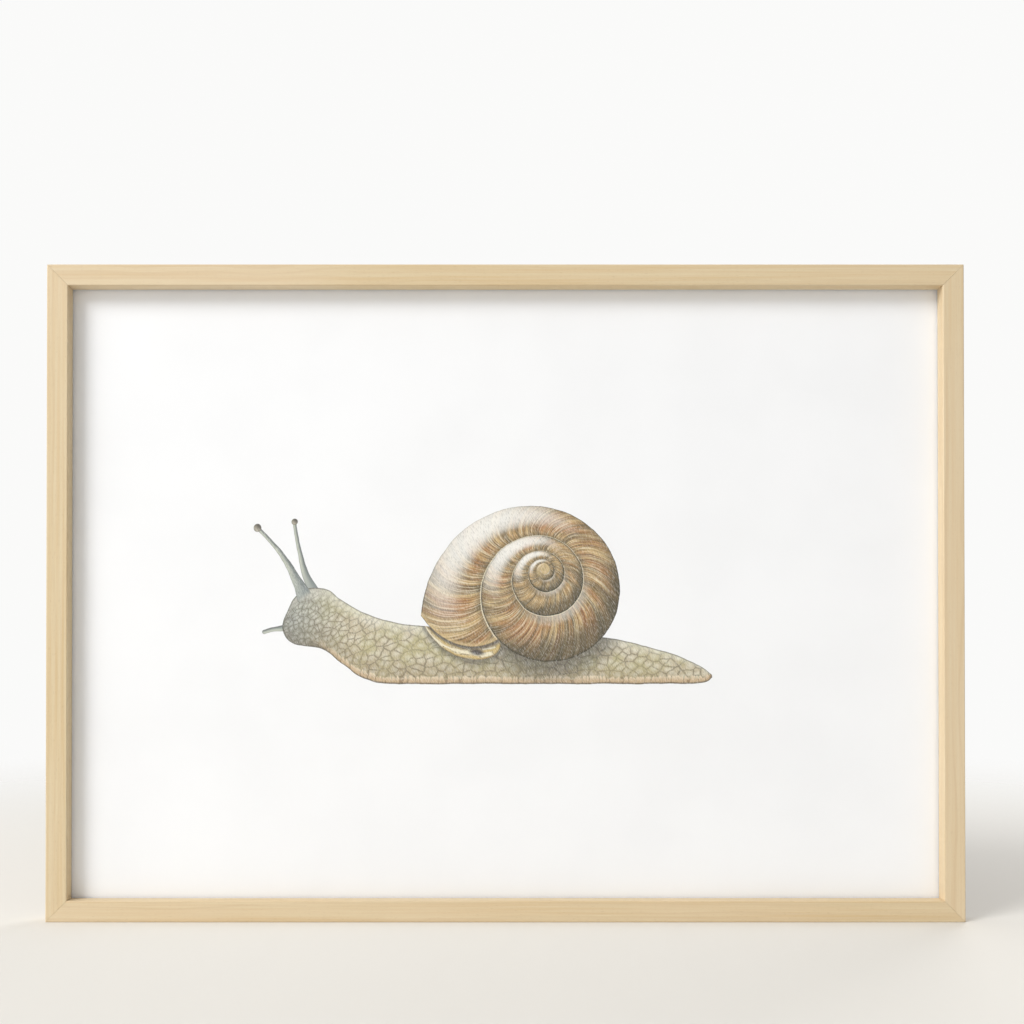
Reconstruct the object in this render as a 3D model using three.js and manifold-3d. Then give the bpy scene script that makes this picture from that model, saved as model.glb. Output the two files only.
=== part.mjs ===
// A framed picture for an A1 sheet, hung or stood the wide way: four mitred wooden rails hold a clear pane, the
// printed sheet, a foam board and a thin back panel. Eight turn buttons keep the back panel in, and two ring
// hangers and two pads meet the wall.
//
// Millimetres. +X is the viewer's right, +Y runs from the front to the back, +Z is up. The origin is the middle
// of the footprint: half way across, half way through the whole depth, on the underside.

import * as THREE from "three";
import { mergeVertices } from "three/addons/utils/BufferGeometryUtils.js";
import Module from "manifold-3d";

const wasm = await Module();
wasm.setup();

// ---- driving dimensions ----

const sheet = { width: 841, height: 594, thickness: 0.3 };
const sightLap = 5; // how much of the sheet the rails' lip covers on each side
const rebateClearance = 1; // room round the sheet inside the rebate
const paneThickness = 2;
const foamThickness = 5;
const panelThickness = 3;
const layerGap = 0.1; // between one layer of the stack and the next

const rail = {
  face: 20, // seen from the front
  depth: 25,
  lip: 14.2, // front face to the rebate's shoulder
  frontRound: 1, // sanded front arrises
  backRound: 0.6,
  mitreGap: 0.08, // each mitred end stands this far back, along the rail
};

const corner = {
  nailSeats: [3, 8], // distance of each nail's fold from both outer edges
  arm: 4,
  steel: 0.6,
  driven: 9, // how deep a nail goes in from the back
  sunk: 0.2,
  clearance: 0.3,
};

const screw = {
  shank: 1.5, // radius
  length: 12,
  point: 3,
  head: 3, // radius
  headHeight: 1.8,
  recess: { span: 2.8, width: 0.8, depth: 1 },
  pilotClearance: 0.3,
};

const button = {
  pivotInset: 7, // pivot to the rail's outer edge
  pivotEnd: 5, // radius of the end round the screw
  reach: 13, // pivot to the middle of the fingertip
  tip: 3.5, // radius of the fingertip
  steel: 1,
  hole: 1.75, // radius
  lift: 0.1, // gap above the rail's back
};
const buttonSpacing = 300; // between neighbours on a long rail

const hanger = {
  inset: 8, // centre line to the rail's outer edge
  barHeight: 505, // ring's bar above the frame's underside
  width: 9,
  steel: 1,
  lift: 0.1,
  boreClearance: 0.25, // round the bar, in the curl
  screwDrops: [16.5, 27], // bar to each screw
  length: 32, // bar to the plate's rounded end
  curlEnd: -100, // degrees, where the curl stops short of the plate
};
const ring = { wire: 1, halfSpan: 6.25, drop: 11, bend: 1.5 }; // wire is a radius, the rest is on its centre line

const pad = { radius: 5, inset: 7, fromEnd: 30 };

// ---- what follows from them ----

const sight = { width: sheet.width - 2 * sightLap, height: sheet.height - 2 * sightLap };
const outer = { width: sight.width + 2 * rail.face, height: sight.height + 2 * rail.face };
const rebateWall = rail.face - sightLap - rebateClearance; // outer edge to the rebate's wall

const curl = { bore: ring.wire + hanger.boreClearance };
curl.radius = curl.bore + hanger.steel;
const proud = hanger.lift + 2 * curl.radius; // hangers and pads stand this far behind the rails
const frontY = -(rail.depth + proud) / 2;
const backY = frontY + rail.depth;

const ROUND = { fine: 24, small: 16 }; // sides of a circle

// ---- materials ----

function material(color, roughness, metalness = 0, more = {}) {
  return new THREE.MeshStandardMaterial({ color, roughness, metalness, ...more });
}

const paleWood = material(0xe0c79b, 0.6);
const clearAcrylic = material(0xf4f8f7, 0.08, 0, { transparent: true, opacity: 0.12 });
const whitePaper = material(0xfbfaf6, 0.9);
const whiteFoam = material(0xf0efe9, 0.9);
const brownBoard = material(0x9c7448, 0.75);
const zincSteel = material(0xb9bcbd, 0.38, 0.9);
const brassedSteel = material(0xc2a35a, 0.35, 0.9);
const darkFelt = material(0x3c3a37, 0.95);

// ---- solids ----

// A geometry's solid, with its shared vertices merged.
function solidOf(geometry) {
  const bare = new THREE.BufferGeometry();
  const loose = geometry.index ? geometry.toNonIndexed() : geometry;
  bare.setAttribute("position", loose.getAttribute("position"));
  const merged = mergeVertices(bare, 1e-4);
  return new wasm.Manifold(
    new wasm.Mesh({
      numProp: 3,
      vertProperties: new Float32Array(merged.attributes.position.array),
      triVerts: new Uint32Array(merged.index.array),
    }),
  );
}

function geometryOf(solid) {
  const mesh = solid.getMesh();
  const geometry = new THREE.BufferGeometry();
  geometry.setAttribute("position", new THREE.BufferAttribute(mesh.vertProperties, 3));
  geometry.setIndex(new THREE.BufferAttribute(mesh.triVerts, 1));
  geometry.computeVertexNormals();
  return geometry;
}

function cut(geometry, cutters) {
  const left = cutters.reduce((rest, cutter) => rest.subtract(solidOf(cutter)), solidOf(geometry));
  return geometryOf(left);
}

function joined(first, second) {
  return geometryOf(solidOf(first).add(solidOf(second)));
}

// A cylinder along Y, from y = low to y = high.
function post(radius, low, high, sides) {
  return new THREE.CylinderGeometry(radius, radius, high - low, sides).translate(0, (low + high) / 2, 0);
}

// An outline drawn in X and Z, given thickness along Y from y = low to y = high.
function plate(outline, low, high, curveSegments = 12) {
  const flat = new THREE.ExtrudeGeometry(outline, { depth: high - low, bevelEnabled: false, curveSegments });
  return flat.rotateX(Math.PI / 2).translate(0, high, 0);
}

// ---- rails ----

// The section, with x inwards from the outer edge and y back from the front face.
function railSection() {
  const { face, depth, lip, frontRound, backRound } = rail;
  const section = new THREE.Shape();
  section.moveTo(0, frontRound);
  section.absarc(frontRound, frontRound, frontRound, Math.PI, 1.5 * Math.PI);
  section.absarc(face - frontRound, frontRound, frontRound, 1.5 * Math.PI, 2 * Math.PI);
  section.lineTo(face, lip);
  section.lineTo(rebateWall, lip);
  section.lineTo(rebateWall, depth);
  section.absarc(backRound, depth - backRound, backRound, 0.5 * Math.PI, Math.PI);
  section.closePath();
  return section;
}

// A nail's folded strip: two arms at a right angle. slack grows it, for the slot that it sits in.
function nailOutline(seat, towards, slack) {
  const half = corner.steel / 2 + slack;
  const reach = corner.arm + slack;
  const points = [
    [-half, -half],
    [reach, -half],
    [reach, half],
    [half, half],
    [half, reach],
    [-half, reach],
  ].map(([x, z]) => new THREE.Vector2(seat + x, towards * (seat + z)));
  return new THREE.Shape(points);
}

// plate() lays an outline's second axis along +Z, so an outline is drawn with Z as it stands.
function nailSolid(seat, towards, slack, low, high) {
  return plate(nailOutline(seat, towards, slack), low, high);
}

// One rail, with x inwards from its outer edge, y back from its front face and z along it from its middle.
// pilots lists [x, z] of the screws that go into its back.
function railGeometry(length, pilots) {
  const straight = new THREE.ExtrudeGeometry(railSection(), {
    depth: length,
    bevelEnabled: false,
    curveSegments: 3,
  });
  straight.translate(0, 0, -length / 2);
  const at = straight.attributes.position;
  for (let i = 0; i < at.count; i++) {
    const mitred = length / 2 - at.getX(i) - rail.mitreGap;
    at.setZ(i, Math.sign(at.getZ(i)) * mitred);
  }
  const { shank, length: screwLength, pilotClearance } = screw;
  const holes = pilots.map(([x, z]) =>
    post(
      shank + pilotClearance,
      rail.depth - screwLength - pilotClearance,
      rail.depth + 1,
      ROUND.small,
    ).translate(x, 0, z),
  );
  const { nailSeats, clearance, driven } = corner;
  const slots = [-1, 1].flatMap((end) =>
    nailSeats.map((seat) =>
      nailSolid(seat, -end, clearance, rail.depth - driven - clearance, rail.depth + 1).translate(
        0,
        0,
        (end * length) / 2,
      ),
    ),
  );
  return cut(straight, [...holes, ...slots]);
}

// ---- small steel ----

// A pan-head screw along Y: its seat is at y = 0, its head stands towards +Y and its point is at -length.
function screwGeometry() {
  const { shank, length, point, head, headHeight, recess } = screw;
  const rim = 0.35 * headHeight;
  const dome = new THREE.QuadraticBezierCurve(
    new THREE.Vector2(head, rim),
    new THREE.Vector2(0.85 * head, headHeight),
    new THREE.Vector2(0, headHeight),
  );
  const profile = [
    new THREE.Vector2(0, -length),
    new THREE.Vector2(shank, point - length),
    new THREE.Vector2(shank, 0),
    new THREE.Vector2(head, 0),
    ...dome.getPoints(4),
  ];
  const body = new THREE.LatheGeometry(profile, ROUND.small);
  const arms = [0, Math.PI / 2].map((turn) =>
    new THREE.BoxGeometry(recess.span, recess.depth * 2, recess.width)
      .rotateY(turn)
      .translate(0, headHeight, 0),
  );
  return cut(body, arms);
}

// A turn button: one end round the screw, a narrower finger along +X.
function buttonGeometry() {
  const { pivotEnd, reach, tip, hole, steel, lift } = button;
  const lean = Math.acos((pivotEnd - tip) / reach); // where the straight sides touch both ends
  const outline = new THREE.Shape();
  outline.absarc(0, 0, pivotEnd, lean, 2 * Math.PI - lean);
  outline.absarc(reach, 0, tip, -lean, lean);
  outline.closePath();
  const bore = new THREE.Path();
  bore.absarc(0, 0, hole, 0, 2 * Math.PI, true);
  outline.holes.push(bore);
  return plate(outline, lift, lift + steel, 8);
}

// ---- ring hangers ----

// The plate and its curl, with the bar's axis along X at z = 0 and y back from the rail.
function hangerPlateGeometry() {
  const { width, steel, lift, screwDrops, length, curlEnd } = hanger;
  const half = width / 2;
  const outline = new THREE.Shape();
  outline.moveTo(half, 0);
  outline.lineTo(-half, 0);
  outline.absarc(0, half - length, half, Math.PI, 2 * Math.PI);
  outline.closePath();
  for (const drop of screwDrops) {
    const bore = new THREE.Path();
    bore.absarc(0, -drop, screw.shank + screw.pilotClearance, 0, 2 * Math.PI, true);
    outline.holes.push(bore);
  }
  const flat = plate(outline, lift, lift + steel, 8);

  // The curl's section has x back from the plate's front and y up; it is as wide as the plate.
  const end = THREE.MathUtils.degToRad(curlEnd);
  const section = new THREE.Shape();
  section.absarc(curl.radius, 0, curl.radius, Math.PI, end, true);
  section.absarc(curl.radius, 0, curl.bore, end, Math.PI, false);
  section.closePath();
  const wrapped = new THREE.ExtrudeGeometry(section, { depth: width, bevelEnabled: false, curveSegments: 14 });
  const toPlace = new THREE.Matrix4().makeBasis(
    new THREE.Vector3(0, 1, 0),
    new THREE.Vector3(0, 0, 1),
    new THREE.Vector3(1, 0, 0),
  );
  wrapped.applyMatrix4(toPlace).translate(-half, lift, 0);
  return joined(flat, wrapped);
}

// The ring's centre line, hanging from its bar at the origin: a closed D in X and Z.
function ringLine() {
  const { halfSpan, drop, bend } = ring;
  const line = new THREE.Path();
  line.moveTo(bend - halfSpan, 0);
  line.lineTo(halfSpan - bend, 0);
  line.absarc(halfSpan - bend, -bend, bend, Math.PI / 2, 0, true);
  line.lineTo(halfSpan, halfSpan - drop);
  line.absarc(0, halfSpan - drop, halfSpan, 0, -Math.PI, true);
  line.lineTo(-halfSpan, -bend);
  line.absarc(bend - halfSpan, -bend, bend, Math.PI, Math.PI / 2, true);
  return line;
}

// A round wire bent along a flat closed line in X and Z, as one tube that meets itself.
function bentWire(line, radius, sides, curveDivisions) {
  const points = line.getPoints(curveDivisions);
  if (points[0].distanceTo(points.at(-1)) < 1e-6) points.pop();
  const along = points.filter((p, i) => p.distanceTo(points.at(i - 1)) > 1e-6);
  const count = along.length;
  const position = [];
  const index = [];
  along.forEach((p, i) => {
    const before = along.at(i - 1);
    const after = along[(i + 1) % count];
    const inward = p.clone().sub(before).normalize();
    const outward = after.clone().sub(p).normalize();
    const travel = inward.clone().add(outward).normalize();
    const widen = 1 / travel.dot(outward); // keeps the wire's width round a bend
    for (let j = 0; j < sides; j++) {
      const turn = (2 * Math.PI * j) / sides;
      const side = radius * widen * Math.cos(turn);
      position.push(p.x - travel.y * side, radius * Math.sin(turn), p.y + travel.x * side);
      const [a, b] = [i * sides + j, i * sides + ((j + 1) % sides)];
      const next = ((i + 1) % count) * sides;
      const [c, d] = [next + j, next + ((j + 1) % sides)];
      index.push(a, c, b, b, c, d);
    }
  });
  const geometry = new THREE.BufferGeometry();
  geometry.setAttribute("position", new THREE.Float32BufferAttribute(position, 3));
  geometry.setIndex(index);
  geometry.computeVertexNormals();
  return geometry;
}

// ---- assembly ----

const picture = new THREE.Group();

function place(parent, name, geometry, finish, x, y, z) {
  const mesh = new THREE.Mesh(geometry, finish);
  mesh.name = name;
  mesh.position.set(x, y, z);
  parent.add(mesh);
  return mesh;
}

// The flat stack behind the lip, front to back.
function addLayers() {
  const layers = [
    ["glazing_pane", paneThickness, clearAcrylic],
    ["print_sheet", sheet.thickness, whitePaper],
    ["foam_board", foamThickness, whiteFoam],
    ["back_panel", panelThickness, brownBoard],
  ];
  let y = frontY + rail.lip;
  for (const [name, thickness, finish] of layers) {
    const box = new THREE.BoxGeometry(sheet.width, thickness, sheet.height);
    place(picture, name, box, finish, 0, y + layerGap + thickness / 2, outer.height / 2);
    y += layerGap + thickness;
  }
}

// A side's group has x inwards from the outer edge, y back from the front face and z along the rail.
function sideGroup(turn, distance) {
  const group = new THREE.Group();
  group.rotation.y = turn;
  const inwards = new THREE.Vector3(1, 0, 0).applyAxisAngle(new THREE.Vector3(0, 1, 0), turn);
  group.position.set(0, frontY, outer.height / 2).addScaledVector(inwards, -distance);
  picture.add(group);
  return group;
}

// worldSign says which way z runs in the side's group: 1 up or to the right, -1 the other way.
const sides = [
  { name: "left", turn: 0, worldSign: 1, long: false, buttons: { middle: 0 } },
  { name: "right", turn: Math.PI, worldSign: -1, long: false, buttons: { middle: 0 } },
  {
    name: "top",
    turn: Math.PI / 2,
    worldSign: 1,
    long: true,
    buttons: { left: -buttonSpacing, middle: 0, right: buttonSpacing },
  },
  {
    name: "bottom",
    turn: -Math.PI / 2,
    worldSign: -1,
    long: true,
    buttons: { left: -buttonSpacing, middle: 0, right: buttonSpacing },
  },
];

// Where the hangers' screws enter an upright rail, as [x, z] in its group.
function hangerPilots(worldSign) {
  const { inset, barHeight, screwDrops } = hanger;
  return screwDrops.map((drop) => [inset, worldSign * (barHeight - drop - outer.height / 2)]);
}

function addSides() {
  const buttonShape = buttonGeometry();
  const screwShape = screwGeometry();
  for (const { name, turn, worldSign, long, buttons } of sides) {
    const [length, distance] = long
      ? [outer.width, outer.height / 2]
      : [outer.height, outer.width / 2];
    const group = sideGroup(turn, distance);
    const seats = Object.entries(buttons).map(([where, along]) => [where, worldSign * along]);
    const pilots = seats.map(([, z]) => [button.pivotInset, z]);
    if (!long) pilots.push(...hangerPilots(worldSign));
    place(group, `rail_${name}`, railGeometry(length, pilots), paleWood, 0, 0, 0);
    for (const [where, z] of seats) {
      const label = long ? `${name}_${where}` : name;
      const above = rail.depth + 2 * button.lift + button.steel;
      place(group, `turn_button_${label}`, buttonShape, zincSteel, button.pivotInset, rail.depth, z);
      place(group, `button_screw_${label}`, screwShape, zincSteel, button.pivotInset, above, z);
    }
  }
}

// Two folded steel nails tie each mitre together from behind.
function addCorners() {
  const corners = {
    bottom_left: [0, -1, 0],
    top_left: [Math.PI / 2, -1, 1],
    top_right: [Math.PI, 1, 1],
    bottom_right: [-Math.PI / 2, 1, 0],
  };
  const { nailSeats, driven, sunk } = corner;
  for (const [name, [turn, sideways, up]] of Object.entries(corners)) {
    const group = new THREE.Group();
    group.rotation.y = turn;
    group.position.set((sideways * outer.width) / 2, frontY, up * outer.height);
    picture.add(group);
    nailSeats.forEach((seat, i) => {
      const nail = nailSolid(seat, 1, 0, rail.depth - driven, rail.depth - sunk);
      place(group, `corner_nail_${name}_${i ? "inner" : "outer"}`, nail, zincSteel, 0, 0, 0);
    });
  }
}

function addHangers() {
  const plateShape = hangerPlateGeometry();
  const ringShape = bentWire(ringLine(), ring.wire, 10, 6);
  const screwShape = screwGeometry();
  const { inset, barHeight, lift, steel, screwDrops } = hanger;
  for (const [name, sideways] of [["left", -1], ["right", 1]]) {
    const x = sideways * (outer.width / 2 - inset);
    place(picture, `hanger_plate_${name}`, plateShape, brassedSteel, x, backY, barHeight);
    place(picture, `hanger_ring_${name}`, ringShape, brassedSteel, x, backY + lift + curl.radius, barHeight);
    screwDrops.forEach((drop, i) => {
      const label = `hanger_screw_${name}_${i ? "lower" : "upper"}`;
      place(picture, label, screwShape, brassedSteel, x, backY + 2 * lift + steel, barHeight - drop);
    });
  }
}

function addPads() {
  for (const [name, sideways] of [["left", -1], ["right", 1]]) {
    const x = sideways * (outer.width / 2 - pad.fromEnd);
    const disc = post(pad.radius, button.lift, proud, ROUND.fine);
    place(picture, `wall_pad_${name}`, disc, darkFelt, x, backY, pad.inset);
  }
}

addLayers();
addSides();
addCorners();
addHangers();
addPads();

export default picture;
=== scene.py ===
import bpy
import bmesh
from math import hypot, log, pi, radians
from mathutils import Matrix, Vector


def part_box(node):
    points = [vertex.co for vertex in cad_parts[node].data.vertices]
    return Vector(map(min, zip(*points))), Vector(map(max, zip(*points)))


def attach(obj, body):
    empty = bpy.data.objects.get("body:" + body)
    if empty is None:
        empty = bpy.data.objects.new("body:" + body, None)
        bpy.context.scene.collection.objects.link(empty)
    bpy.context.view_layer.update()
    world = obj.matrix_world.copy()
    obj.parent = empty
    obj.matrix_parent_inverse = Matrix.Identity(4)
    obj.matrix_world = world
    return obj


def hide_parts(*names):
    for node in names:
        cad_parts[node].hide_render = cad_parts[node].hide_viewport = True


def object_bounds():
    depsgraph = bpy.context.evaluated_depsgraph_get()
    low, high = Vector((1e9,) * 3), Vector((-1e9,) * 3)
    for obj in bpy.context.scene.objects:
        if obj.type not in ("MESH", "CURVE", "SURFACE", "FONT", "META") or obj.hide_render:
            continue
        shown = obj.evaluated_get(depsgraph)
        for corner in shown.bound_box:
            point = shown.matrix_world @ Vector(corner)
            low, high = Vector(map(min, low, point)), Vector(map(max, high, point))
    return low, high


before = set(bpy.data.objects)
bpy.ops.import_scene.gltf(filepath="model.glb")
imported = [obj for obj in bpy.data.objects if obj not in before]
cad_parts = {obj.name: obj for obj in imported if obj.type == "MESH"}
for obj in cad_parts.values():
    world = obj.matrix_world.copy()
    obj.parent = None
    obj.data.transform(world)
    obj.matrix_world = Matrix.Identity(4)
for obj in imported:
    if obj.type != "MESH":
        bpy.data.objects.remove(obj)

cadLow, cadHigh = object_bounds()
print("frame loaded,", len(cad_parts), "nodes")


class Wire:
    # an output socket of a material's tree; sums on it add Math nodes
    def __init__(self, tree, socket=None):
        self.tree = tree
        self.socket = socket

    def node(self, kind, settings=None, sockets=None, out=0):
        made = self.tree.nodes.new("ShaderNode" + kind)
        for name, value in (settings or {}).items():
            if name == "stops":
                setStops(made.color_ramp, value)
            elif name == "points":
                setPoints(made.mapping, value)
            else:
                setattr(made, name, value)
        for name, value in (sockets or {}).items():
            goal = made.inputs[name] if isinstance(name, int) else usable(made.inputs, name)
            if isinstance(value, Wire):
                self.tree.links.new(value.socket, goal)
            else:
                goal.default_value = value
        if made.outputs:
            picked = made.outputs[out] if isinstance(out, int) else usable(made.outputs, out)
            return Wire(self.tree, picked)

    def math(self, operation, *others):
        return self.node("Math", {"operation": operation}, dict(enumerate((self, *others))))

    def after(self, operation, first):
        # the same with a plain number as the first value
        return self.node("Math", {"operation": operation}, {0: first, 1: self})

    def __add__(self, other):
        return self.math("ADD", other)

    def __mul__(self, other):
        return self.math("MULTIPLY", other)

    def __sub__(self, other):
        return self.math("SUBTRACT", other)

    def __truediv__(self, other):
        return self.math("DIVIDE", other)

    def __pow__(self, other):
        return self.math("POWER", other)

    def __rsub__(self, other):
        return self.after("SUBTRACT", other)

    def __rtruediv__(self, other):
        return self.after("DIVIDE", other)

    __radd__ = __add__
    __rmul__ = __mul__


def usable(sockets, name):
    return next(s for s in sockets if s.name == name and s.enabled)


def setStops(ramp, stops):
    while len(ramp.elements) < len(stops):
        ramp.elements.new(1)
    for element, (position, value) in zip(ramp.elements, stops):
        element.position = position
        element.color = colour(value)


def setPoints(mapping, points):
    curve = mapping.curves[0]
    while len(curve.points) < len(points):
        curve.points.new(0, 0)
    for point, place in zip(curve.points, points):
        point.location = place
        point.handle_type = "AUTO_CLAMPED"
    mapping.update()


def smooth(value, low, high, start=0, end=1):
    # eases from start to end while value goes from low to high
    sockets = {"Value": value, "From Min": low, "From Max": high, "To Min": start, "To Max": end}
    return value.node("MapRange", {"interpolation_type": "SMOOTHSTEP"}, sockets)


def least(a, b):
    return a.math("MINIMUM", b)


def most(a, b):
    return a.math("MAXIMUM", b)


def root(a):
    return a.math("SQRT")


def vector(x, y, z=0):
    start = next(v for v in (x, y, z) if isinstance(v, Wire))
    return start.node("CombineXYZ", None, {0: x, 1: y, 2: z})


def split(v):
    return [v.node("SeparateXYZ", None, {0: v}, out) for out in (0, 1, 2)]


def noise(v, scale, detail=2, rough=0.5, kind="3D"):
    sockets = {"Vector": v, "Scale": scale, "Detail": detail, "Roughness": rough}
    return v.node("TexNoise", {"noise_dimensions": kind}, sockets)


def cells(v, scale, feature="DISTANCE_TO_EDGE", out=0, kind="2D"):
    settings = {"feature": feature, "voronoi_dimensions": kind}
    return v.node("TexVoronoi", settings, {"Vector": v, "Scale": scale}, out)


def blend(factor, first, second, mode="MIX"):
    start = next(v for v in (factor, first, second) if isinstance(v, Wire))
    values = {"Factor": factor, "A": first, "B": second}
    sockets = {k: v if isinstance(v, (Wire, float, int)) else colour(v) for k, v in values.items()}
    return start.node("Mix", {"data_type": "RGBA", "blend_type": mode}, sockets, "Result")


def colour(rgb):
    # screen values, 0 to 255, as the linear colour that a socket takes
    shares = [c / 255 for c in rgb]
    return (*[s / 12.92 if s <= 0.04045 else ((s + 0.055) / 1.055) ** 2.4 for s in shares], 1)


def newMaterial(name):
    material = bpy.data.materials.new(name)
    material.use_nodes = True
    material.node_tree.nodes.clear()
    place = Wire(material.node_tree).node("TexCoord", None, None, "Object")
    return material, place


def finishMaterial(place, sockets, height=None, depth=0.0):
    # depth is the relief in metres between height 0 and height 1
    if height:
        bump = place.node("Bump", None, {"Height": height, "Distance": depth, "Strength": 1.0})
        sockets = {**sockets, "Normal": bump}
    shader = place.node("BsdfPrincipled", None, sockets)
    place.node("OutputMaterial", None, {"Surface": shader})


def wear(node, material):
    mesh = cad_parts[node].data
    mesh.materials.clear()
    mesh.materials.append(material)


print("node wiring ready")


# camera, lights and floor
view = {
    "distance": 1.150,  # lens to the frame's face
    "sideways": -0.0196,
    "height": 0.255,
    "pitch": 0.427,  # degrees above level
    "lens": 42.67,
    "shiftX": 0.0266,
    "shiftY": 0.1286,
}

studio = {
    "world": (253, 253, 252),
    "seen": 0.975,  # the room's brightness as the camera sees it
    "shed": 0.66,  # and as it falls on the frame
    "slant": 0.6,  # how much brighter the left side sheds, and how much weaker the right
    "lights": {
        # place, disc's width, power, colour
        "keyLight": ((-3.4, -2.95, 3.5), 2.4, 185, (1.0, 0.99, 0.975)),
        "backLight": ((2.4, 3.6, 3.6), 2.4, 70, (1.0, 0.99, 0.98)),
    },
    "floorRadius": 3.0,
    "floorFade": (0.5, 2.2),  # metres from the middle, where the floor melts into the room
    "floor": (226, 223, 217),
}


def addCamera():
    data = bpy.data.cameras.new("camera")
    data.lens = view["lens"]
    data.shift_x = view["shiftX"]
    data.shift_y = view["shiftY"]
    camera = bpy.data.objects.new("camera", data)
    camera.location = (view["sideways"], cadLow.y - view["distance"], view["height"])
    camera.rotation_euler = (radians(90 + view["pitch"]), 0, 0)
    bpy.context.collection.objects.link(camera)
    bpy.context.scene.camera = camera


def addLight(name, place, size, power, tint):
    data = bpy.data.lights.new(name, "AREA")
    data.shape = "DISK"
    data.size = size
    data.energy = power
    data.color = tint
    lamp = bpy.data.objects.new(name, data)
    lamp.location = place
    aim = (cadLow + cadHigh) / 2 - Vector(place)
    lamp.rotation_euler = aim.to_track_quat("-Z", "Y").to_euler()
    bpy.context.collection.objects.link(lamp)


def addRoom():
    world = bpy.data.worlds.new("softRoom")
    bpy.context.scene.world = world
    world.use_nodes = True
    world.node_tree.nodes.clear()
    air = Wire(world.node_tree)
    seen = air.node("LightPath", None, None, "Is Camera Ray")
    rightward = split(air.node("TexCoord", None, None, "Generated"))[0]
    shed = (1 - rightward * studio["slant"]) * studio["shed"]
    strength = seen * (studio["seen"] - shed) + shed
    glow = air.node("Background", None, {"Color": colour(studio["world"]), "Strength": strength})
    air.node("OutputWorld", None, {"Surface": glow})

    mesh = bpy.data.meshes.new("floor")
    form = bmesh.new()
    bmesh.ops.create_circle(form, cap_ends=True, segments=96, radius=studio["floorRadius"])
    form.to_mesh(mesh)
    form.free()
    floor = bpy.data.objects.new("floor", mesh)
    bpy.context.collection.objects.link(floor)
    material, place = newMaterial("paleFloor")
    x, y, _ = split(place)
    mottle = noise(place, 1.5, 2)
    tone = blend(mottle, [c - 2 for c in studio["floor"]], [c + 2 for c in studio["floor"]])
    matt = place.node("BsdfPrincipled", None, {"Base Color": tone, "Roughness": 0.8})
    gone = place.node("BsdfTransparent")
    fade = smooth(root(x * x + y * y), *studio["floorFade"])
    mixed = place.node("MixShader", None, {0: fade, 1: matt, 2: gone})
    place.node("OutputMaterial", None, {"Surface": mixed})
    mesh.materials.append(material)


addCamera()
addRoom()
for name, settings in studio["lights"].items():
    addLight(name, *settings)
bpy.context.scene.view_settings.view_transform = "Standard"
print("camera, lights and floor ready")


# edges eased and shaded smooth, without touching a CAD mesh
edges = {
    "join": 0.000002,  # metres within which two corners are one
    "flat": 0.2,  # degrees; faces that fold less are one flat
    "fold": 38,  # degrees; edges that fold less are shaded smooth and not eased
    "rounds": 2,  # steps in an eased edge
    "plate": 0.00012,
    "felt": 0.0004,
    "sheet": 0.0002,
    "steel": 0.0001,
}


def softShading(angle):
    group = bpy.data.node_groups.new("softShading", "GeometryNodeTree")
    group.interface.new_socket("Geometry", in_out="INPUT", socket_type="NodeSocketGeometry")
    group.interface.new_socket("Geometry", in_out="OUTPUT", socket_type="NodeSocketGeometry")
    add = group.nodes.new
    start, end = add("NodeGroupInput"), add("NodeGroupOutput")
    faces, creases = add("GeometryNodeSetShadeSmooth"), add("GeometryNodeSetShadeSmooth")
    creases.domain = "EDGE"
    fold, gentle = add("GeometryNodeInputMeshEdgeAngle"), add("FunctionNodeCompare")
    gentle.operation = "LESS_THAN"
    gentle.inputs["B"].default_value = angle
    link = group.links.new
    link(start.outputs[0], faces.inputs["Geometry"])
    link(faces.outputs[0], creases.inputs["Geometry"])
    link(fold.outputs["Unsigned Angle"], gentle.inputs["A"])
    link(gentle.outputs[0], creases.inputs["Shade Smooth"])
    link(creases.outputs[0], end.inputs[0])
    return group


shadeSoftly = softShading(radians(edges["fold"]))


def easeEdges(piece, width):
    # the CAD's triangles come apart, so their corners are joined first
    piece.modifiers.new("joinedCorners", "WELD").merge_threshold = edges["join"]
    if width:
        flats = piece.modifiers.new("wholeFlats", "DECIMATE")
        flats.decimate_type = "DISSOLVE"
        flats.angle_limit = radians(edges["flat"])
        bevel = piece.modifiers.new("easedEdges", "BEVEL")
        bevel.width = width
        bevel.segments = edges["rounds"]
        bevel.limit_method = "ANGLE"
        bevel.angle_limit = radians(edges["fold"])
    piece.modifiers.new("softShading", "NODES").node_group = shadeSoftly
    if width:
        piece.modifiers.new("evenShading", "WEIGHTED_NORMAL").keep_sharp = True


# the wooden rails
wood = {
    "pale": (222, 205, 171),
    "warm": (216, 192, 151),
    "late": (196, 166, 122),
    "fleck": (168, 138, 100),
    "blush": (228, 207, 178),
    "ring": 0.0052,  # metres between growth rings on the face
    "fibre": 0.0004,
    "edges": 0.00012,
}


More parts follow.
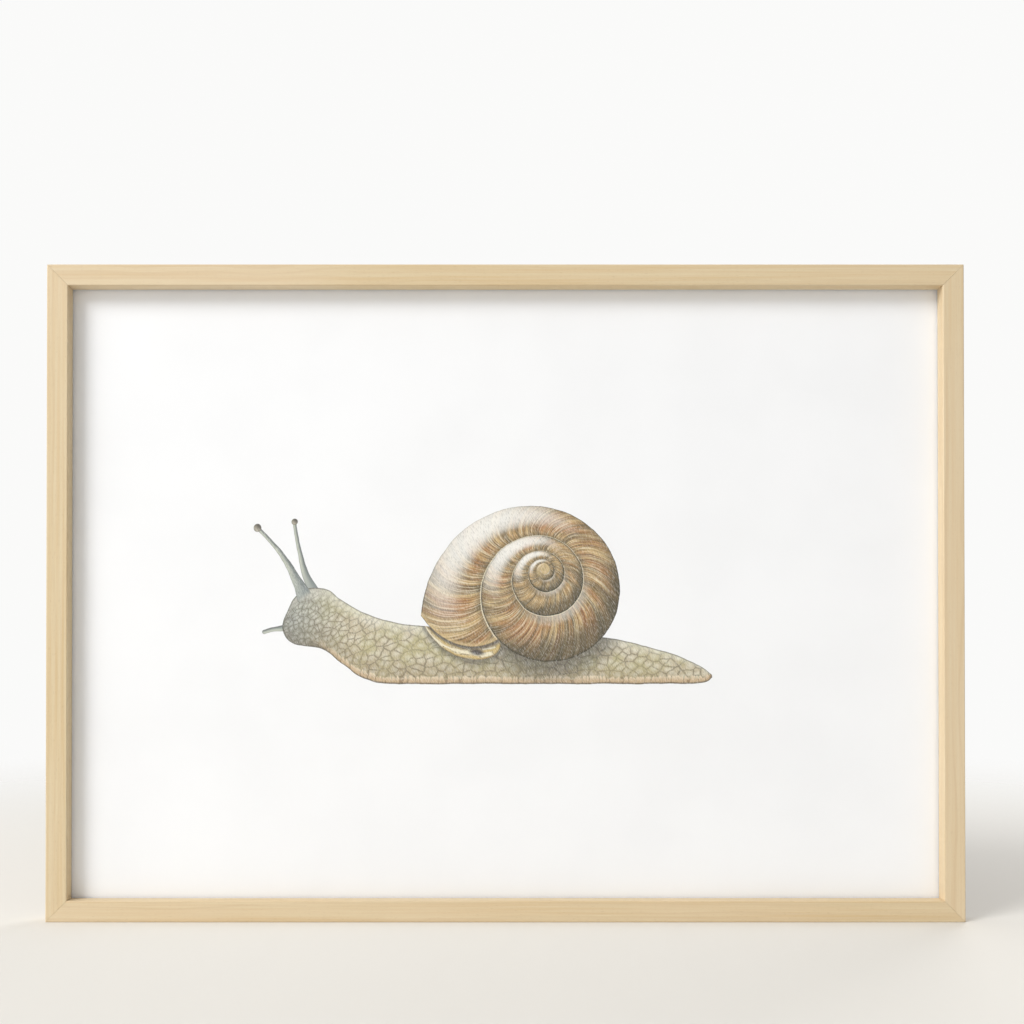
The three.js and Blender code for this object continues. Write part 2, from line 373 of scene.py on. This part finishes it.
def woodMaterial(name, along, seed):
    # along is the rail's long axis: 0 for X, 2 for Z
    material, place = newMaterial(name)
    x, y, z = split(place)
    run, side = (x, z) if along == 0 else (z, x)
    drift = noise(vector(run * 2.5 + seed, side * 6), 1, 2, kind="2D")
    sway = noise(vector(run * 6 + seed, side * 30 + y * 30), 1, 3, kind="2D") - 0.5
    across = side + y * 0.6 + sway * 0.012 + drift * 0.02
    ring = noise(vector(run * 0.9 + seed, across / wood["ring"]), 1, 1, kind="2D")
    late = smooth(ring, 0.5, 0.68)
    streak = noise(vector(run * 5 + seed, side * 380, y * 380), 1, 3, 0.6)
    fibre = noise(vector(run * 55 + seed, side / wood["fibre"], y / wood["fibre"]), 1, 1)
    fleck = smooth(noise(vector(run * 220 + seed, side * 2300, y * 2300), 1, 0), 0.7, 0.8)
    tone = blend(smooth(streak, 0.3, 0.72), wood["pale"], wood["warm"])
    tone = blend(late * smooth(drift, 0.3, 0.75, 0.1, 0.34), tone, wood["late"])
    tone = blend(fleck * 0.3, tone, wood["fleck"])
    tone = blend(smooth(fibre, 0.2, 0.8, 0, 0.18), tone, wood["late"])
    tone = blend(smooth(drift, 0.35, 0.7, 0, 0.35), tone, wood["blush"])
    height = fibre * 0.6 + late * 0.2 - fleck * 0.6
    roughness = smooth(streak, 0.2, 0.8, 0.5, 0.62)
    sockets = {"Base Color": tone, "Roughness": roughness, "Specular IOR Level": 0.4}
    finishMaterial(place, sockets, height, 0.00003)
    return material


for count, (side, along) in enumerate({"top": 0, "bottom": 0, "left": 2, "right": 2}.items()):
    rail = f"rail_{side}"
    wear(rail, woodMaterial(f"paleWood{side.title()}", along, 7.3 * count))
    easeEdges(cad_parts[rail], wood["edges"])
print("rails finished")


# the printed snail, in millimetres: x from the sheet's middle towards the head, z above the sole
snail = {
    "sole": 0.225,  # metres above the frame's underside
    "patch": (-0.270, 0.205, 0.230, 0.430),  # the part of the sheet that holds ink, in metres
    "wobble": 1.1,  # how far the hand strays
    "ink": (66, 64, 52),
    "shadow": (78, 78, 76),
}

shell = {
    "apex": (-38, 112),
    "lean": (0.08, -0.36),  # a whorl's middle from the apex, in that whorl's radii
    "growth": 1.95,  # one whorl to the next
    "radius": 110,  # at the lip
    "lip": 0.26,  # turns from straight up, over towards the head
    "lipSlant": 0.13,  # turns that the lip runs on towards the suture
    "lipSag": 0.018,
    "sweep": 0.05,  # turns that a growth line falls back from suture to rim
    "light": (0.52, 0.66, 0.54),  # towards the head, up, towards the viewer
    "olive": (140, 120, 86),
    "slate": (122, 106, 84),
    "ochre": (198, 164, 112),
    "straw": (220, 196, 148),
    "orange": (184, 134, 88),
    "rose": (150, 98, 66),
    "cream": (238, 230, 204),
    "white": (252, 251, 246),
    "shade": (72, 70, 58),
    "collar": 15,  # the mantle's greatest width under the lip
    "flesh": (208, 184, 124),
    "fold": (126, 102, 62),
    "hollow": (70, 68, 76),
}

body = {
    "back": ((-200, 8), (-186, 18), (-150, 32), (-100, 44), (-50, 50), (0, 52), (50, 54),
             (100, 58), (135, 68), (160, 82), (178, 90), (192, 88), (204, 76), (212, 64)),
    "foot": ((-200, 7), (-190, 1), (-150, 0), (-50, 0), (50, 0), (110, 0), (135, 5),
             (155, 18), (175, 34), (192, 42), (212, 48)),
    "head": ((184, 64, 25, 27), (198, 54, 16, 15)),  # middle x and z, half width, half height
    "tallest": 100,  # no point of the two outlines is higher
    "ends": (-199, 196),  # where the body is cut off, under its round ends
    "cell": 8.2,  # a skin cell on the side
    "packing": 0.0042,  # how much tighter the cells pack for each millimetre towards the head
    "neck": 118,  # where they begin to
    "skin": (196, 188, 165),
    "mossy": (186, 182, 142),
    "bluish": (152, 160, 160),
    "warm": (214, 196, 158),
    "groove": (108, 100, 82),
    "wet": (248, 248, 238),
    "fringe": 9.5,
    "tooth": 6.2,  # one tooth of the fringe
    "fringeColour": (206, 180, 144),
    "fringePale": (230, 216, 190),
    "fringeLine": (140, 114, 84),
}

horns = {
    # base, tip, half width at each, bow, knob
    "farUpper": ((182, 84), (202, 156), 6.5, 1.7, -4.0, 3.0),
    "nearUpper": ((192, 80), (238, 150), 8.0, 1.8, 5.0, 3.6),
    "nearLower": ((207, 54), (232, 50), 4.2, 2.0, 1.0, 0),
}

hornColours = {
    "lit": (202, 206, 194),
    "shaded": (116, 124, 124),
    "knobDark": (84, 80, 74),
    "knobPale": (186, 180, 164),
}

paperColours = {"dull": (246, 247, 249), "bright": (249, 250, 252)}


def rod(x, z, start, end, wide, thin, bow):
    # millimetres inside a tapered, bowed rod, the share of its length and the place across it
    dx, dz = end[0] - start[0], end[1] - start[1]
    length = hypot(dx, dz)
    sideX, sideZ = -dz / length, dx / length
    along = (x - start[0]) * (dx / length ** 2) + (z - start[1]) * (dz / length ** 2)
    along = least(most(along, 0), 1)
    stray = along * (1 - along) * (4 * bow)
    offX = x - start[0] - along * dx - stray * sideX
    offZ = z - start[1] - along * dz - stray * sideZ
    half = (1 - along) ** 2.6 * (wide - thin) + thin
    inside = half - root(offX * offX + offZ * offZ)
    across = (offX * sideX + offZ * sideZ) / half
    return inside, along, across


def hatching(x, z):
    # short pencil strokes that lean towards the head, all over the drawing
    return noise(vector(x * 0.95 - z * 0.5, z * 0.16 + x * 0.2), 1, 3, 0.7, "2D")


def drawShell(x, z):
    apexX, apexZ = shell["apex"]
    leanX, leanZ = shell["lean"]
    x, z = x - apexX, z - apexZ
    room = 1 - leanX ** 2 - leanZ ** 2
    dot = x * leanX + z * leanZ
    radius = most((root(dot * dot + (x * x + z * z) * room) - dot) / room, 0.01)
    outX, outZ = x / radius - leanX, z / radius - leanZ
    turn = outX.math("ARCTAN2", outZ) / (2 * pi)
    grown = (radius / shell["radius"]).math("LOGARITHM", shell["growth"]) + shell["lip"]
    whorl = (grown - turn).math("CEIL")
    total = turn + whorl  # turns along the shell; the lip is at its own value
    across = grown - total + 1  # 0 at the suture, 1 at the rim
    fromRim = radius * (1 - across) * log(shell["growth"])
    fromSuture = radius * across * log(shell["growth"])
    sag = across * (1 - across) * (4 * shell["lipSag"])
    lip = (1 - across) * shell["lipSlant"] + sag + shell["lip"]
    fromLip = (lip - total) * radius * (2 * pi)
    mask = smooth(fromLip, -0.3, 0.3)

    # growth lines run from suture to rim and fall back on the way
    age = total + across * across * shell["sweep"]
    row = across * 0.5 + whorl * 5
    zone = noise(vector(age * 9, row), 1, 2, 0.6, "2D")
    band = noise(vector(age * 46, row), 1, 2, 0.55, "2D")
    line = noise(vector(age * 118 + 7, row * 1.6), 1, 2, 0.6, "2D")
    hair = noise(vector(age * 330 + 3, row * 2.4), 1, 1, 0.6, "2D")

    crown = smooth(across, 0.02, 0.35) * smooth(across, 1.02, 0.6)
    late = smooth(total, -1.5, -0.7)
    tone = blend(smooth(band, 0.36, 0.6), shell["olive"], shell["ochre"])
    tone = blend(smooth(zone, 0.44, 0.6, 0, 0.85) * crown * late, tone, shell["orange"])
    tone = blend(smooth(zone, 0.5, 0.36, 0, 0.5) * smooth(across, 0.2, 0.8), tone, shell["slate"])
    blush = smooth(line, 0.56, 0.68, 0, 0.6) * smooth(band, 0.4, 0.6) * late
    tone = blend(blush, tone, shell["rose"])
    tone = blend(smooth(line, 0.46, 0.34, 0, 0.7), tone, shell["straw"])
    tone = blend(smooth(band, 0.44, 0.34, 0, 0.55), tone, shell["olive"])
    tone = blend(smooth(hair, 0.55, 0.7, 0, 0.55), tone, shell["shade"])
    tone = blend(smooth(hair, 0.46, 0.3, 0, 0.5), tone, shell["cream"])

    # each whorl is round, lit from the upper left
    slope = smooth(across, 0.0, 1.0, -0.35, 0.98)
    headward, upward, forward = shell["light"]
    lit = (outX * headward + outZ * upward) * slope + root(1 - slope * slope) * forward
    bright = smooth(lit, 0.54, 1.04)
    tone = blend(smooth(lit, 0.46, -0.4, 0, 0.7), tone, shell["shade"])
    tone = blend(smooth(across, 0.8, 1.0, 0, 0.3) * (1 - bright), tone, shell["shade"])
    tone = blend(bright * 0.9, tone, shell["white"])

    # sutures, rim and lip
    tone = blend(smooth(fromSuture, 8, 0, 0, 0.42) * (1 - bright), tone, shell["shade"])
    seam = smooth(across + hair * 0.045, 0.056, 0.036) * smooth(total, -3.2, -1.0)
    tone = blend(seam * 0.8, tone, shell["cream"])
    tone = blend(smooth(fromRim, 1.6, 0.2, 0, 0.8) * (1 - bright * 0.8), tone, snail["ink"])
    tone = blend(smooth(fromLip, 6, 2, 0, 0.6), tone, shell["straw"])
    tone = blend(smooth(fromLip, 1.3, 0.3, 0, 0.75), tone, snail["ink"])
    tone = blend(smooth(total, -3.3, -4.0, 0, 0.8), tone, shell["straw"])

    # the mantle's collar shows under the lip, with its breathing hole
    beyond = 0 - fromLip
    width = root(most(across * (1 - across), 0)) * (2 * shell["collar"])
    under = smooth(beyond, -0.5, 0.5)
    collar = under * smooth(width - beyond, 0, 1)
    pleat = noise(vector(across * 4.5, beyond * 0.2), 1, 2, 0.5, "2D")
    flesh = blend(smooth(pleat, 0.35, 0.65), shell["flesh"], shell["cream"])
    flesh = blend(smooth((pleat - 0.5).math("ABSOLUTE"), 0.03, 0.0, 0, 0.8), flesh, shell["fold"])
    holeX, holeZ = (across - 0.4) * 11, (beyond - 6) / 4
    hole = root(holeX * holeX + holeZ * holeZ)
    flesh = blend(smooth(hole, 1.3, 0.4, 0, 0.9), flesh, shell["hollow"])
    flesh = blend(smooth(beyond, 6, 0, 0, 0.9), flesh, shell["hollow"])
    flesh = blend(smooth(width - beyond, 2.6, 0.3, 0, 0.75), flesh, shell["fold"])

    # what the shell shades on the back: beside its rim and beneath its lip
    beside = smooth(fromSuture, 24, 0) * smooth(total, shell["lip"] + 0.85, shell["lip"] + 0.7)
    beneath = smooth(beyond - width, 14, -2) * smooth(total, shell["lip"] + 0.7, shell["lip"] + 0.4)
    shadow = most(beside, beneath) * under * 0.72
    return {"mask": mask, "tone": tone, "collar": collar, "flesh": flesh, "shadow": shadow}


def throughCurve(x, points, height):
    # a smooth line through the listed points, as z for each x
    low, high = points[0][0], points[-1][0]
    scaled = [((px - low) / (high - low), pz / height) for px, pz in points]
    share = (x - low) / (high - low)
    return share.node("FloatCurve", {"points": scaled}, {"Value": share}) * height


def drawBody(x, z):
    top = throughCurve(x, body["back"], body["tallest"])
    sole = throughCurve(x, body["foot"], body["tallest"])
    tail, front = body["ends"]
    inside = least(least(top - z, z - sole), least(x - tail, front - x))
    for headX, headZ, headWide, headTall in body["head"]:
        overX, overZ = (x - headX) / headWide, (z - headZ) / headTall
        bulge = (1 - root(overX * overX + overZ * overZ)) * headWide
        inside = inside.node("Math", {"operation": "SMOOTH_MAX"}, {0: inside, 1: bulge, 2: 12.0})
    mask = smooth(inside, -0.3, 0.3)

    level = (z - sole) / most(top - sole, 1)
    fromSole = z - sole
    drift = noise(vector(x, z), 0.045, 2, 0.5, "2D")
    jolt = noise(vector(x, z), 0.16, 1, 0.5, "2D") * 2
    past = most(x - body["neck"], 0)
    tight = past * (2 * body["packing"]) + 1
    gridX = x * 0.84 + past * past * body["packing"] + jolt
    gridZ = z * 1.06 * tight + x * 0.06 + jolt
    grid = vector(gridX, gridZ)
    edge = cells(grid, 1 / body["cell"])
    heart = cells(grid, 1 / body["cell"], "F1", "Distance")
    fate = cells(grid, 1 / body["cell"], "F1", "Color").node("RGBToBW")

    tone = blend(smooth(drift, 0.36, 0.62), body["skin"], body["mossy"])
    tone = blend(smooth(fate, 0.2, 0.8, 0, 0.6), tone, body["warm"])
    tone = blend(smooth(level, 0.5, 0.1, 0, 0.6), tone, body["warm"])
    tone = blend(smooth(x, 140, 212, 0, 0.8), tone, body["bluish"])
    tone = blend(smooth(heart, 0.5, 0.05, 0, 0.3), tone, body["wet"])
    cut = smooth(edge, 0.14, 0.01, 0, 0.62) * smooth(drift, 0.3, 0.65, 1, 0.6)
    tone = blend(cut, tone, body["groove"])
    drop = smooth(heart, 0.2, 0.1) * smooth(fate, 0.54, 0.58) * smooth(x, 120, 170)
    tone = blend(drop * 0.85, tone, body["wet"])
    tone = blend(smooth(level, 0.75, 1.0, 0, 0.4), tone, body["wet"])
    tone = blend(smooth(level, 0.5, 0.15, 0, 0.3), tone, body["groove"])
    tone = blend(smooth(inside, 10, 0, 0, 0.3) * smooth(x, 150, 205), tone, body["groove"])

    # the fringe along the foot, in rounded teeth
    pace = noise(vector(x, 40), 0.07, 2, 0.6, "2D") * 26
    tooth = ((x + jolt * 1.5 + pace) / body["tooth"]).math("FRACT") - 0.5
    above = fromSole + tooth * tooth * 13 + drift * 4 - body["fringe"]
    band = smooth(above, 1.0, -1.0) * smooth(x, 192, 150)
    strip = blend(smooth(fromSole, 2, 8), body["fringeColour"], body["fringePale"])
    cleft = smooth(tooth * tooth, 0.13, 0.25)
    strip = blend(cleft * 0.8, strip, body["fringeLine"])
    reach = smooth(level, 0.42, 0.12) * smooth(x, 186, 140)
    tone = blend(smooth(tooth * tooth, 0.2, 0.25, 0, 0.4) * reach, tone, body["fringeLine"])
    tone = blend(band * 0.92, tone, strip)
    tone = blend(smooth(fromSole, 2.4, 0.8, 0, 0.55) * smooth(x, 198, 180), tone, body["groove"])
    tone = blend(smooth(inside, 1.6, 0.1, 0, 0.75), tone, snail["ink"])
    return mask, tone


def drawHorn(x, z, base, tip, wide, thin, bow, knob):
    inside, along, across = rod(x, z, base, tip, wide, thin, bow)
    tone = blend(smooth(across, -0.7, 0.9), hornColours["lit"], hornColours["shaded"])
    tone = blend(smooth(along, 0.5, 0.0, 0, 0.75), tone, body["bluish"])
    tone = blend(smooth(inside, 0.9, 0.1, 0, 0.5), tone, snail["ink"])
    mask = smooth(inside, -0.3, 0.3) * smooth(along, 0.0, 0.1)
    if knob:
        offX, offZ = x - tip[0], z - tip[1]
        far = root(offX * offX + offZ * offZ)
        glint = smooth(offX * 0.6 - offZ * 0.8, -knob, knob)
        ball = blend(glint, hornColours["knobDark"], hornColours["knobPale"])
        inBall = smooth(far, knob + 0.3, knob - 0.3)
        ball = blend(smooth(far, knob - 1.0, knob, 0, 0.6), ball, snail["ink"])
        tone = blend(inBall, tone, ball)
        mask = most(mask, inBall)
    return mask, tone


def paper(place):
    tooth = noise(place, 1400, 2)
    cloud = noise(place, 9, 2)
    tone = blend(smooth(cloud, 0.3, 0.7), paperColours["dull"], paperColours["bright"])
    return tone, tooth


def paperMaterial():
    material, place = newMaterial("sheetPaper")
    tone, tooth = paper(place)
    finishMaterial(place, {"Base Color": tone, "Roughness": 0.85}, tooth, 0.00001)
    return material


def pictureMaterial():
    material, place = newMaterial("printedSnail")
    x, _, z = split(place)
    x, z = x * -1000, (z - snail["sole"]) * 1000
    handX = (noise(vector(x, z), 0.035, 3, 0.6, "2D") - 0.5) * (2 * snail["wobble"])
    handZ = (noise(vector(x, z + 90), 0.035, 3, 0.6, "2D") - 0.5) * (2 * snail["wobble"])
    x, z = x + handX, z + handZ
    stroke = hatching(x, z)

    tone, tooth = paper(place)
    for name in ("farUpper", "nearLower"):
        mask, hornTone = drawHorn(x, z, *horns[name])
        tone = blend(mask, tone, hornTone)
    drawn = drawShell(x, z)
    bodyMask, bodyTone = drawBody(x, z)
    bodyTone = blend(drawn["shadow"], bodyTone, snail["shadow"])
    tone = blend(bodyMask, tone, bodyTone)
    mask, hornTone = drawHorn(x, z, *horns["nearUpper"])
    tone = blend(mask, tone, hornTone)
    tone = blend(drawn["collar"] * bodyMask, tone, drawn["flesh"])
    tone = blend(drawn["mask"], tone, drawn["tone"])
    inked = most(most(bodyMask, drawn["mask"]), mask)
    tone = blend(smooth(stroke, 0.48, 0.72, 0, 0.3) * inked, tone, snail["ink"])
    tone = blend(smooth(stroke, 0.5, 0.28, 0, 0.24) * inked, tone, shell["white"])
    finishMaterial(place, {"Base Color": tone, "Roughness": 0.8}, tooth, 0.00001)
    return material


def printSheet():
    # one closed sheet; the part of its face that holds ink has a material of its own
    low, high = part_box("print_sheet")
    left, bottom, right, top = snail["patch"]
    xs, zs = (low[0], left, right, high[0]), (low[2], bottom, top, high[2])
    mesh = bpy.data.meshes.new("printedSheet")
    form = bmesh.new()
    grid = [(i, j, x, z) for i, x in enumerate(xs) for j, z in enumerate(zs)]
    face = {(i, j): form.verts.new((x, low[1], z)) for i, j, x, z in grid}
    back = {(i, j): form.verts.new((x, high[1], z)) for i, j, x, z in grid}
    for i in range(3):
        for j in range(3):
            ring = [(i, j), (i + 1, j), (i + 1, j + 1), (i, j + 1)]
            inked = form.faces.new([face[k] for k in ring])
            inked.material_index = 1 if (i, j) == (1, 1) else 0
            form.faces.new([back[k] for k in reversed(ring)])
    around = [(i, 0) for i in range(3)] + [(3, j) for j in range(3)]
    around += [(i, 3) for i in (3, 2, 1)] + [(0, j) for j in (3, 2, 1)]
    for here, there in zip(around, around[1:] + around[:1]):
        form.faces.new([face[here], back[here], back[there], face[there]])
    # the face takes nine tenths of the map, the back and edges the strip below
    unwrap = form.loops.layers.uv.new("OFBake")
    for side in form.faces:
        isFace = all(corner.co.y == low[1] for corner in side.verts)
        for loop in side.loops:
            u = (loop.vert.co.x - low[0]) / (high[0] - low[0])
            v = (loop.vert.co.z - low[2]) / (high[2] - low[2])
            loop[unwrap].uv = (u, 0.1 + 0.9 * v) if isFace else (u, 0.09 * v)
    form.to_mesh(mesh)
    form.free()
    sheet = bpy.data.objects.new("printedSheet", mesh)
    bpy.context.collection.objects.link(sheet)
    mesh.materials.append(paperMaterial())
    mesh.materials.append(pictureMaterial())
    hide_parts("print_sheet")
    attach(sheet, "frame")


printSheet()
print("printed sheet finished")


# the pane, coated so that it mirrors only a share of what bare glass does
pane = {"index": 1.49, "coating": 0.35, "white": (255, 255, 255)}


def paneMaterial():
    material, place = newMaterial("clearPane")
    white = colour(pane["white"])
    gloss = place.node("BsdfAnisotropic", None, {"Color": white, "Roughness": 0.03})
    clear = place.node("BsdfTransparent", None, {"Color": white})
    outer = 1 - place.node("NewGeometry", None, None, "Backfacing")
    smear = smooth(noise(place, 14, 3), 0.3, 0.7, 0.9, 1.1)
    mirror = place.node("Fresnel", None, {"IOR": pane["index"]}) * pane["coating"] * outer * smear
    mixed = place.node("MixShader", None, {0: mirror, 1: clear, 2: gloss})
    place.node("OutputMaterial", None, {"Surface": mixed})
    return material


wear("glazing_pane", paneMaterial())
print("pane finished")


# everything behind the print
board = {"fibre": (158, 122, 82), "dark": (132, 98, 62), "light": (178, 142, 100)}
foam = {
    "face": (240, 239, 233),
    "core": (228, 228, 222),
    "card": (0.0003, 0.0004),  # metres under each face where the card ends and the foam begins
}
zinc = {"pale": (196, 199, 202), "dull": (150, 154, 158), "stain": (122, 118, 110)}
brassed = {"pale": (210, 184, 122), "dull": (176, 146, 88), "stain": (118, 94, 60)}
felt = {"dark": (44, 43, 41), "light": (78, 75, 70)}


def boardMaterial():
    material, place = newMaterial("fibreBoard")
    mottle = noise(place, 22, 3)
    fibre = noise(place, 900, 3, 0.7)
    chip = smooth(cells(place, 520, "F1", "Distance", "3D"), 0.45, 0.12)
    drawnOut = place.node("VectorMath", {"operation": "MULTIPLY"}, {0: place, 1: (160, 160, 1100)})
    strand = noise(drawnOut, 1, 2)
    tone = blend(smooth(fibre, 0.3, 0.7), board["dark"], board["fibre"])
    tone = blend(smooth(mottle, 0.35, 0.7, 0, 0.2), tone, board["light"])
    tone = blend(chip * 0.3, tone, board["light"])
    tone = blend(smooth(strand, 0.55, 0.75, 0, 0.4), tone, board["dark"])
    sockets = {"Base Color": tone, "Roughness": smooth(mottle, 0.3, 0.7, 0.58, 0.72)}
    finishMaterial(place, sockets, fibre, 0.00006)
    return material


def foamMaterial():
    material, place = newMaterial("foamBoard")
    y = split(place)[1]
    low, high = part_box("foam_board")
    card, bead = foam["card"]
    fromFront = smooth(y, low[1] + card, low[1] + bead)
    core = fromFront * smooth(y, high[1] - card, high[1] - bead)
    beads = cells(place, 1600, "F1", "Distance", "3D")
    tone = blend(core, foam["face"], foam["core"])
    finishMaterial(place, {"Base Color": tone, "Roughness": 0.9}, beads * core, 0.00008)
    return material


def metalMaterial(name, plate):
    material, place = newMaterial(name)
    bloom = noise(place, 320, 3, 0.6)
    grain = noise(place, 2600, 2, 0.6)
    stain = smooth(noise(place, 130, 3), 0.56, 0.75)
    tone = blend(smooth(bloom, 0.35, 0.65), plate["dull"], plate["pale"])
    tone = blend(stain * 0.35, tone, plate["stain"])
    roughness = smooth(grain, 0.3, 0.7, 0.26, 0.4) + stain * 0.15
    sockets = {"Base Color": tone, "Roughness": roughness, "Metallic": 1.0}
    finishMaterial(place, sockets, grain, 0.000012)
    return material


def feltMaterial():
    material, place = newMaterial("darkFelt")
    hair = noise(place, 2400, 4, 0.7)
    tone = blend(smooth(hair, 0.35, 0.65), felt["dark"], felt["light"])
    sockets = {"Base Color": tone, "Roughness": 0.95, "Sheen Weight": 0.4}
    finishMaterial(place, sockets, hair, 0.00025)
    return material


wear("back_panel", boardMaterial())
wear("foam_board", foamMaterial())
zincPlate, brassPlate = metalMaterial("zincPlate", zinc), metalMaterial("brassPlate", brassed)
darkFelt = feltMaterial()
for node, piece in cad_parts.items():
    if node.startswith("hanger"):
        wear(node, brassPlate)
        easeEdges(piece, edges["plate"] if "plate" in node else 0)
    elif node.startswith("wall_pad"):
        wear(node, darkFelt)
        easeEdges(piece, edges["felt"])
    elif node in ("back_panel", "foam_board", "glazing_pane"):
        easeEdges(piece, edges["sheet"])
    elif node.startswith(("turn_button", "button_screw", "corner_nail")):
        wear(node, zincPlate)
        easeEdges(piece, 0 if "screw" in node else edges["steel"])
print("back and hardware finished")
